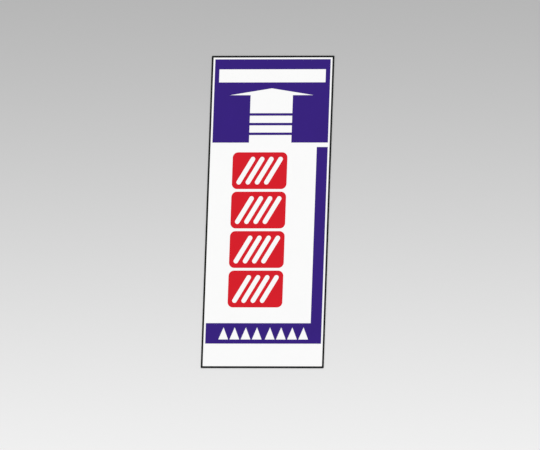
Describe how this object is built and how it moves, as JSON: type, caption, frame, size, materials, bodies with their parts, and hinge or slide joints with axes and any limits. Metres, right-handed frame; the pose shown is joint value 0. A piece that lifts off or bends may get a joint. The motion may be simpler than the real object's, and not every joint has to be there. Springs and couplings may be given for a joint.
{
  "type": "road marking decal",
  "caption": "Tall flat road decal: white sheet with a black edge line, a violet header with stop bar and arrow, red striped blocks and a violet corner band.",
  "frame": {"origin": "middle of the underside, on the ground", "axes": "+Z out of the printed face, +Y towards the sheet's top edge, where the arrow points, and +X to the reader's right"},
  "size_m": [0.55, 1.4, 0.0019],
  "materials": {
    "white_sheet": "white flexible marking sheet, semi-matte, with a fine non-slip grain",
    "black_film": "black print film, semi-matte",
    "violet_film": "blue-violet print film, semi-matte, with a fine non-slip grain",
    "red_film": "signal red print film, semi-matte, with a fine non-slip grain"
  },
  "bodies": {
    "root": {"sheet": "white_sheet", "edge_line": "black_film", "header_field": "violet_film", "corner_band": "violet_film", "red_block_1": "red_film", "red_block_2": "red_film", "red_block_3": "red_film", "red_block_4": "red_film"}
  },
  "joints": []
}
